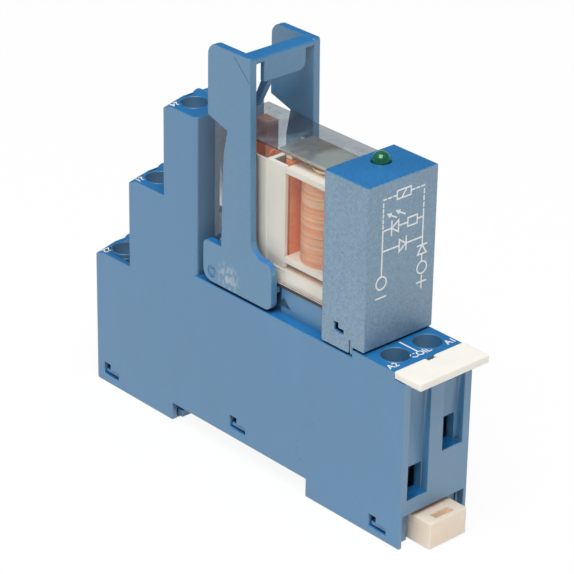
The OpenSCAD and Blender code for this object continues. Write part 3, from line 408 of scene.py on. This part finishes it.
def make_materials():
    """One finish for each material slot of the record, and a few for single pieces."""
    return {
        "blue_plastic": moulded("blue_plastic", BLUE_TOP, BLUE_SIDE_SHEEN, end=BLUE_END_SHEEN),
        "module_plastic": moulded("module_plastic", BLUE_TOP, MODULE_SIDE_SHEEN, 0.42, 0.3, 0.06, 0.20),
        "clip_plastic": moulded("clip_plastic", BLUE_TOP, CLIP_SIDE_SHEEN, 0.40, 0.2, 0.05, 0.06, scuff=True),
        "peach_plastic": soft_plastic("peach_plastic", (1.0, 0.80, 0.66), 0.35, 0.6, (3.0, 1.5, 0.9)),
        "white_plastic": soft_plastic("white_plastic", (0.98, 0.93, 0.85), 0.45, 0.2),
        "cream_plastic": soft_plastic("cream_plastic", CREAM, 0.5, 0.2),
        "base_plastic": soft_plastic("base_plastic", CREAM, 0.5, 0.1,
                                     shade_below=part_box("relay_cover")[0].z - 0.1 * MM),
        "zinc_steel": rolled_metal("zinc_steel", STEEL, DULL_STEEL, 0.32),
        "iron": rolled_metal("iron", (0.95, 0.74, 0.48), (0.70, 0.46, 0.24), 0.34, metal=0.7),
        "brass": rolled_metal("brass", (0.80, 0.60, 0.28), (0.55, 0.36, 0.16), 0.32),
        "copper": rolled_metal("copper", (1.0, 0.36, 0.11), (0.95, 0.29, 0.08), 0.42, metal=0.2),
        "copper_wire": wound_wire("copper_wire"),
        "clear_plastic": clear_cover("clear_plastic"),
        "green_lamp": lamp_glass("green_lamp"),
        "green_board": circuit_board("green_board"),
        "tan_enamel": soft_plastic("tan_enamel", (0.52, 0.38, 0.22), 0.4, 0.1),
        "black_plastic": moulded("black_plastic", BLACK, BLACK, 0.4),
        "blue_enamel": moulded("blue_enamel", ENAMEL, ENAMEL, 0.3),
        "ink": print_and_painted_shade("ink", WHITE_INK),
        "painted_shade_mark": print_and_painted_shade("painted_shade_mark", PAINTED_SHADE_COLOR),
    }


OWN_FINISH = {"module_case": "module_plastic", "retaining_clip": "clip_plastic",
              "relay_base": "base_plastic"}


def dress_nodes(materials):
    """The finish of its slot, or one of its own, on each CAD node."""
    for name, node in NODES.items():
        slot = node.data.materials[0].name
        finish = materials[OWN_FINISH.get(name, slot)]
        for i in range(len(node.data.materials)):
            node.data.materials[i] = finish


# ---- rounded edges on the CAD solids ----

SHARP_ANGLE = math.radians(32)
FLAT_ANGLE = math.radians(0.6)
WELD_GAP = 0.04 * MM
EDGE_ROUND = {"clear_plastic": 0.30, "blue_plastic": 0.16, "clip_plastic": 0.18, "module_plastic": 0.32,
              "white_plastic": 0.28, "peach_plastic": 0.18, "cream_plastic": 0.10, "iron": 0.06}   # mm
OTHER_ROUND = 0.04


def edge_group():
    """Node group that shades smooth, keeps inward creases sharp and marks outward edges for the bevel."""
    group = bpy.data.node_groups.new("edge_weights", "GeometryNodeTree")
    group.interface.new_socket("Geometry", in_out="INPUT", socket_type="NodeSocketGeometry")
    group.interface.new_socket("Geometry", in_out="OUTPUT", socket_type="NodeSocketGeometry")
    nodes, links = group.nodes, group.links
    start = nodes.new("NodeGroupInput").outputs[0]
    drop = nodes.new("GeometryNodeRemoveAttribute")
    drop.inputs["Name"].default_value = "custom_normal"
    links.new(start, drop.inputs["Geometry"])
    faces = nodes.new("GeometryNodeSetShadeSmooth")
    clear = nodes.new("GeometryNodeSetShadeSmooth")
    clear.domain = "EDGE"
    creases = nodes.new("GeometryNodeSetShadeSmooth")
    creases.domain = "EDGE"
    creases.inputs["Shade Smooth"].default_value = False
    links.new(drop.outputs[0], faces.inputs["Geometry"])
    links.new(faces.outputs[0], clear.inputs["Geometry"])
    links.new(clear.outputs[0], creases.inputs["Geometry"])
    angle = nodes.new("GeometryNodeInputMeshEdgeAngle")
    outward = nodes.new("ShaderNodeMath")
    outward.operation = "GREATER_THAN"
    outward.inputs[1].default_value = SHARP_ANGLE
    links.new(angle.outputs["Signed Angle"], outward.inputs[0])
    inward = nodes.new("ShaderNodeMath")
    inward.operation = "LESS_THAN"
    inward.inputs[1].default_value = -SHARP_ANGLE
    links.new(angle.outputs["Signed Angle"], inward.inputs[0])
    links.new(inward.outputs[0], creases.inputs["Selection"])
    store = nodes.new("GeometryNodeStoreNamedAttribute")
    store.data_type, store.domain = "FLOAT", "EDGE"
    store.inputs["Name"].default_value = "bevel_weight_edge"
    links.new(creases.outputs[0], store.inputs["Geometry"])
    links.new(outward.outputs[0], store.inputs["Value"])
    links.new(store.outputs[0], nodes.new("NodeGroupOutput").inputs[0])
    return group


def round_edges():
    """Small rounds on the outward edges, as wide as the finish calls for."""
    group = edge_group()
    for name, node in NODES.items():
        finish = OWN_FINISH.get(name, node.data.materials[0].name)
        weld = node.modifiers.new("weld", "WELD")
        weld.merge_threshold = WELD_GAP
        flat = node.modifiers.new("flat", "DECIMATE")
        flat.decimate_type = "DISSOLVE"
        flat.angle_limit = FLAT_ANGLE
        node.modifiers.new("edges", "NODES").node_group = group
        bevel = node.modifiers.new("bevel", "BEVEL")
        bevel.limit_method = "WEIGHT"
        bevel.width = EDGE_ROUND.get(finish, OTHER_ROUND) * MM
        bevel.segments = 2
        bevel.use_clamp_overlap = False
        normals = node.modifiers.new("normals", "WEIGHTED_NORMAL")
        normals.keep_sharp = True
        normals.mode = "FACE_AREA_WITH_ANGLE"


# ---- new pieces ----

def add_piece(name, verts, faces, material, body, smooth=False):
    """New mesh that rides on a body and takes a material slot of the record."""
    mesh = bpy.data.meshes.new(name)
    mesh.from_pydata([tuple(v) for v in verts], [], faces)
    mesh.validate()
    mesh.update()
    for face in mesh.polygons:
        face.use_smooth = smooth
    mesh.materials.append(material)
    piece = bpy.data.objects.new(name, mesh)
    bpy.context.scene.collection.objects.link(piece)
    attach(piece, body)
    return piece


def ring_solid(profile, centre, segments):
    """Vertices and faces of a closed (radius, height) outline turned about an upright axis."""
    verts, faces = [], []
    n = len(profile)
    for s in range(segments):
        a = 2 * math.pi * s / segments
        for r, z in profile:
            verts.append((centre[0] + r * math.cos(a), centre[1] + r * math.sin(a), z))
    for s in range(segments):
        here, there = s * n, (s + 1) % segments * n
        for i in range(n):
            j = (i + 1) % n
            faces.append((here + i, there + i, there + j, here + j))
    return verts, faces


WIRE_PITCH = 0.34 * MM
WIRE_SWELL = 0.11 * MM
WIRE_UNEVEN = 0.03 * MM
TURN_STEPS = 5
RING_SIDES = 72


def add_winding(materials):
    """Layer of round turns in place of the plain winding."""
    low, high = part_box("coil_winding")
    radius = (high.x - low.x) / 2
    core_low, core_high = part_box("coil_core")
    inner = (core_high.y - core_low.y) / 2
    turns = int((high.z - low.z) / WIRE_PITCH)
    pitch = (high.z - low.z) / turns
    profile = []
    for i in range(turns):
        uneven = WIRE_UNEVEN * math.sin(2.4 * i) * math.sin(0.7 * i + 1)
        for step in range(TURN_STEPS):
            bow = math.sin(math.pi * step / TURN_STEPS)
            profile.append((radius - WIRE_SWELL * (1 - bow) - abs(uneven),
                            low.z + pitch * (i + step / TURN_STEPS)))
    profile.append((radius - WIRE_SWELL, high.z))
    profile += [(inner, high.z), (inner, low.z)]
    verts, faces = ring_solid(profile, ((low.x + high.x) / 2, (low.y + high.y) / 2), RING_SIDES)
    winding = add_piece("coil_turns", verts, faces, materials["copper_wire"], "relay", True)
    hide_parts("coil_winding")


def tube_along(points, radius, sides=8):
    """Vertices and faces of a round wire along points, with closed ends."""
    verts, faces = [], []
    points = [Vector(p) for p in points]
    side = None
    for i, p in enumerate(points):
        ahead = points[min(i + 1, len(points) - 1)] - points[max(i - 1, 0)]
        ahead.normalize()
        if side is None:
            side = ahead.orthogonal().normalized()
        side = (side - ahead * side.dot(ahead)).normalized()
        other = ahead.cross(side)
        for s in range(sides):
            a = 2 * math.pi * s / sides
            verts.append(p + radius * (side * math.cos(a) + other * math.sin(a)))
    for i in range(len(points) - 1):
        for s in range(sides):
            t = (s + 1) % sides
            faces.append((i * sides + s, i * sides + t, (i + 1) * sides + t, (i + 1) * sides + s))
    last = (len(points) - 1) * sides
    faces.append(tuple(reversed(range(sides))))
    faces.append(tuple(range(last, last + sides)))
    return verts, faces


def bezier(a, b, c, d, steps):
    """Points of a cubic curve from a to d."""
    out = []
    for i in range(steps + 1):
        t = i / steps
        out.append(a * (1 - t) ** 3 + b * 3 * t * (1 - t) ** 2 + c * 3 * t * t * (1 - t) + d * t ** 3)
    return out


LEAD_R = 0.13 * MM
LEAD_STEPS = 14
LEAVE_ANGLE = 38      # degrees round the winding from X


def add_coil_leads(materials):
    """Two wires from the winding to the coil pins."""
    low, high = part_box("coil_winding")
    pin_low, pin_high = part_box("coil_pins")
    middle_x = (low.x + high.x) / 2
    radius = (high.x - low.x) / 2
    pin_x = (pin_low.x + pin_high.x) / 2
    pin_y = pin_high.y - 0.4 * MM
    for number, side in enumerate((-1, 1), 1):
        leave = math.radians(LEAVE_ANGLE * side)
        start = Vector((middle_x + radius * math.cos(leave), radius * math.sin(leave), low.z + 0.8 * MM))
        end = Vector((pin_x, side * pin_y, pin_high.z + 0.1 * MM))
        out = Vector((0.5 * MM, side * 0.6 * MM, 0))
        path = bezier(start, start + out, end + Vector((0.3 * MM, 0, 1.6 * MM)), end, LEAD_STEPS)
        verts, faces = tube_along(path, LEAD_R)
        add_piece(f"coil_lead_{number}", verts, faces, materials["copper_wire"], "relay",
                  True)


POST_AT = (4.45 * MM, -4.8 * MM)       # x from the coil's axis, y of the frame
POST_R = 0.33 * MM
POST_PROUD = 0.05 * MM
POST_STEPS = 6
WRAP_TURNS, WRAP_STEPS, WRAP_PITCH = 7, 14, 0.30 * MM
WRAP_RISE = 1.2 * MM
WRAP_R = 0.12 * MM
WRAP_SEAT = 0.09 * MM      # from the post's surface to the wire's middle


def add_coil_post(materials):
    """Upright post beside the winding that the wire's end is wound on."""
    low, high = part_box("coil_winding")
    x, y = (low.x + high.x) / 2 + POST_AT[0], POST_AT[1]
    low_z, high_z = low.z - POST_PROUD, high.z + POST_PROUD
    line = [(x, y, low_z + (high_z - low_z) * i / POST_STEPS) for i in range(POST_STEPS + 1)]
    verts, faces = tube_along(line, POST_R, 14)
    add_piece("coil_post", verts, faces, materials["tan_enamel"], "relay", True)
    line = []
    for i in range(WRAP_TURNS * WRAP_STEPS + 1):
        a = 2 * math.pi * i / WRAP_STEPS
        r = POST_R + WRAP_SEAT
        line.append((x + r * math.cos(a), y + r * math.sin(a),
                     low.z + WRAP_RISE + WRAP_PITCH * i / WRAP_STEPS))
    verts, faces = tube_along(line, WRAP_R, 6)
    add_piece("post_wrap", verts, faces, materials["copper_wire"], "relay", True)


INK_PROUD = 0.02 * MM
INK_SUNK = 0.03 * MM
INK_STEP = 0.0008 * MM      # keeps strips that cross off one plane
MITRE_LEAST = 0.35          # holds back the mitre at a sharp corner


def corner_offsets(line, half):
    """For each point of a line the mitred step to the strip's left edge.

    Also whether the line closes, and the direction of each of its parts.
    """
    closed = line[0] == line[-1]
    ways = [(Vector(b) - Vector(a)).normalized() for a, b in zip(line, line[1:])]
    steps = []
    for i in range(len(line)):
        before = ways[i - 1] if i or closed else ways[0]
        after = ways[i % len(ways)] if i < len(ways) or closed else ways[-1]
        n0, n1 = Vector((-before.y, before.x)), Vector((-after.y, after.x))
        steps.append((n0 + n1) * (half / max(MITRE_LEAST, 1 + n0.dot(n1))))
    return steps, closed, ways


def strokes(lines, width, place):
    """Vertices and faces of flat strips, for print and for painted shade, along lines of (across, up)
    points, laid on a face by place.
    """
    verts, faces = [], []
    half = width / 2
    for number, line in enumerate(lines):
        steps, closed, ways = corner_offsets(line, half)
        points = [Vector(p) for p in line]
        if not closed:
            points[0] = points[0] - ways[0] * half
            points[-1] = points[-1] + ways[-1] * half
        top = INK_PROUD + number * INK_STEP
        first = len(verts)
        for p, step in zip(points, steps):
            for edge, high in ((p - step, -INK_SUNK), (p + step, -INK_SUNK),
                               (p + step, top), (p - step, top)):
                verts.append(place(edge.x, edge.y, high))
        for i in range(len(line) - 1):
            a, b = first + 4 * i, first + 4 * (i + 1)
            if closed and i == len(line) - 2:
                b = first
            faces += [(a + k, b + k, b + (k + 1) % 4, a + (k + 1) % 4) for k in range(4)]
        if not closed:
            last = first + 4 * (len(line) - 1)
            faces += [(first, first + 1, first + 2, first + 3), (last + 3, last + 2, last + 1, last)]
    return verts, faces


CIRCLE_STEPS = 24
DASH_SHARE = 0.55


def circle_line(u, v, r):
    turn = 2 * math.pi
    return [(u + r * math.cos(turn * i / CIRCLE_STEPS), v + r * math.sin(turn * i / CIRCLE_STEPS))
            for i in range(CIRCLE_STEPS + 1)]


def dashes(a, b, count):
    """Short strokes from a to b."""
    a, b = Vector(a), Vector(b)
    step = (b - a) / (count - 1 + DASH_SHARE)
    return [[tuple(a + step * i), tuple(a + step * (i + DASH_SHARE))] for i in range(count)]


def circuit_lines():
    """Standard symbols of an indicator circuit, in millimetres from the middle of the case's upper edge."""
    left, right, top = -4.4, 4.8, -3.0
    lamp_row, diode_row, ring_row = -8.6, -12.3, -17.95
    lines = dashes((left, top), (-1.6, top), 3) + dashes((1.95, top), (right, top), 3)
    lines += dashes((left, top - 0.7), (left, lamp_row + 0.5), 5)
    lines += dashes((right, top - 0.7), (right, -8.0), 4)
    # coil
    lines += [[(-1.4, top - 0.75), (1.75, top - 0.75), (1.75, top + 0.75), (-1.4, top + 0.75),
               (-1.4, top - 0.75)], [(-0.35, top - 0.75), (0.75, top + 0.75)]]
    # lamp, resistor
    lines += [[(left, lamp_row), (-2.4, lamp_row)], [(-2.4, lamp_row - 1.25), (-2.4, lamp_row + 1.25)],
              [(-2.4, lamp_row), (-0.85, lamp_row + 1.05), (-0.85, lamp_row - 1.05), (-2.4, lamp_row)],
              [(-0.85, lamp_row), (1.25, lamp_row)],
              [(1.25, lamp_row - 0.78), (3.4, lamp_row - 0.78), (3.4, lamp_row + 0.78),
               (1.25, lamp_row + 0.78), (1.25, lamp_row - 0.78)], [(3.4, lamp_row), (right, lamp_row)]]
    # arrows of light
    for u, v in ((-1.45, lamp_row + 1.7), (0.55, lamp_row + 1.75)):
        lines += [[(u, v), (u - 1.9, v + 1.05)],
                  [(u - 1.2, v + 0.95), (u - 1.95, v + 1.08), (u - 1.5, v + 0.5)]]
    # diode across, and the two sides
    lines += [[(left, diode_row), (-0.55, diode_row)],
              [(-0.55, diode_row + 1.1), (0.97, diode_row), (-0.55, diode_row - 1.1),
               (-0.55, diode_row + 1.1)],
              [(1.02, diode_row - 1.2), (1.02, diode_row + 1.2)], [(1.02, diode_row), (right, diode_row)],
              [(left, lamp_row), (left, ring_row + 1.2)], [(right, -8.2), (right, -13.75)],
              [(right - 1.05, -13.8), (right + 1.05, -13.8)],
              [(right, -13.8), (right - 1.0, -15.4), (right + 1.0, -15.4), (right, -13.8)],
              [(right, -15.4), (right, ring_row + 1.1)], circle_line(left, ring_row, 1.15),
              circle_line(right + 0.1, ring_row, 1.1)]
    sign_row = -20.6
    lines += [[(left - 1.1, sign_row), (left + 1.1, sign_row)],
              [(right - 0.95, sign_row), (right + 1.15, sign_row)],
              [(right + 0.1, sign_row - 1.1), (right + 0.1, sign_row + 1.1)]]
    return [[(u * MM, v * MM) for u, v in line] for line in lines]


CIRCUIT_LINE = 0.27 * MM


def add_circuit_print(materials):
    """The circuit's symbols on the end face of the module."""
    low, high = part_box("module_case")
    middle = (low.y + high.y) / 2
    verts, faces = strokes(circuit_lines(), CIRCUIT_LINE,
                           lambda u, v, w: (high.x + w, middle + u, high.z + v))
    add_piece("circuit_print", verts, faces, materials["ink"], "module")


ARROW = ((5.55, 32.8), (8.45, 32.8), (6.71, 34.6))     # x and z of the mark's corners, mm
CREASE = [(-4.05 * MM, 75.6 * MM), (-0.35 * MM, 72.1 * MM)]
CREASE_LINE = 0.11 * MM


def add_painted_side_shade(materials):
    """Painted shade in the recessed arrow of the seat, and along the crease across the clip's near plate.
    """
    middle = Vector((sum(c[0] for c in ARROW) / 3 * MM, -0.1, sum(c[1] for c in ARROW) / 3 * MM))
    hit, at, _, _ = NODES["socket_housing"].ray_cast(middle, Vector((0, 1, 0)))
    if hit:
        front, back = at.y - INK_PROUD, at.y + INK_SUNK
        verts = [(x * MM, y, z * MM) for y in (front, back) for x, z in ARROW]
        faces = [(0, 1, 2), (5, 4, 3), (0, 3, 4, 1), (1, 4, 5, 2), (2, 5, 3, 0)]
        add_piece("arrow_shade", verts, faces, materials["painted_shade_mark"], "socket")
    low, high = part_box("retaining_clip")
    verts, faces = strokes([CREASE], CREASE_LINE, lambda u, v, w: (u, low.y - w, v))
    add_piece("clip_crease_shade", verts, faces, materials["painted_shade_mark"], "clip")


CAPITAL_SHARE = 0.7     # height of a capital in the font's size


def add_label(name, words, at, right, up, height, material, body):
    """Raised print of words, centred at a point of a face, that reads along right."""
    curve = bpy.data.curves.new(name, "FONT")
    curve.body = words
    curve.align_x, curve.align_y = "CENTER", "CENTER"
    curve.size = height / CAPITAL_SHARE
    curve.offset = 0.02 * height
    curve.extrude = (INK_PROUD + INK_SUNK) / 2
    holder = bpy.data.objects.new(name + "_curve", curve)
    bpy.context.scene.collection.objects.link(holder)
    bpy.context.view_layer.update()
    depsgraph = bpy.context.evaluated_depsgraph_get()
    mesh = bpy.data.meshes.new_from_object(holder.evaluated_get(depsgraph))
    bpy.data.objects.remove(holder)
    right, up = Vector(right), Vector(up)
    normal = right.cross(up)
    turn = Matrix((right, up, normal)).transposed().to_4x4()
    mesh.transform(Matrix.Translation(Vector(at) + normal * (INK_PROUD - INK_SUNK) / 2) @ turn)
    mesh.name = name
    mesh.materials.clear()
    mesh.materials.append(material)
    piece = bpy.data.objects.new(name, mesh)
    bpy.context.scene.collection.objects.link(piece)
    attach(piece, body)


def face_height(x, y):
    """Height of the socket's upper surface at a point."""
    hit, at, _, _ = NODES["socket_housing"].ray_cast(Vector((x, y, 0.2)), Vector((0, 0, -1)))
    return at.z if hit else 0.0


NUMBER_HEIGHT = 1.35 * MM
STEP_NUMBERS = ("12", "11", "14", "22", "21", "24")
COIL_NUMBERS = ("a1", "a2")
STEP_OFFSET = (-1.75 * MM, 6.75 * MM)      # x from the screw, y from the middle plane
COIL_OFFSET = (2.4 * MM, 6.65 * MM)
COIL_WORD_X = 2.1 * MM
DECK_LINE = 0.3 * MM


def add_number(name, words, offset, right, up, ink):
    """Number of a terminal, printed beside the well of its screw; returns the screw's x."""
    low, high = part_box("terminal_screw_" + name)
    side = 1 if high.y > 0 else -1
    screw_x = (low.x + high.x) / 2
    x, y = screw_x + offset[0], side * offset[1]
    add_label("number_" + name, words, (x, y, face_height(x, y)), right, up, NUMBER_HEIGHT, ink, "socket")
    return screw_x


def add_numbers(materials):
    """Plain terminal numbers on the steps and on the deck, and the deck's word and line."""
    ink = materials["ink"]
    for name in STEP_NUMBERS:
        add_number(name, name, STEP_OFFSET, (0, -1, 0), (1, 0, 0), ink)
    for name in COIL_NUMBERS:
        screw_x = add_number(name, name.upper(), COIL_OFFSET, (0, 1, 0), (-1, 0, 0), ink)
    x = screw_x + COIL_WORD_X
    add_label("word_coil", "COIL", (x, 0, face_height(x, 1.2 * MM)), (0, 1, 0), (-1, 0, 0), NUMBER_HEIGHT,
              ink, "socket")
    start, end = x - 4.9 * MM, x - 1.0 * MM
    top = face_height(start + 2.5 * MM, 0)
    verts, faces = strokes([[(start, 0), (end, 0)]], DECK_LINE, lambda u, v, w: (u, v, top + w))
    add_piece("deck_line", verts, faces, ink, "socket")


# ---- the scene ----

def main():
    add_camera()
    add_floor()
    add_world()
    add_softbox()
    materials = make_materials()
    add_winding(materials)
    add_coil_leads(materials)
    add_coil_post(materials)
    add_circuit_print(materials)
    add_painted_side_shade(materials)
    add_numbers(materials)
    round_edges()
    dress_nodes(materials)
    bpy.context.scene.view_settings.view_transform = "Standard"


main()
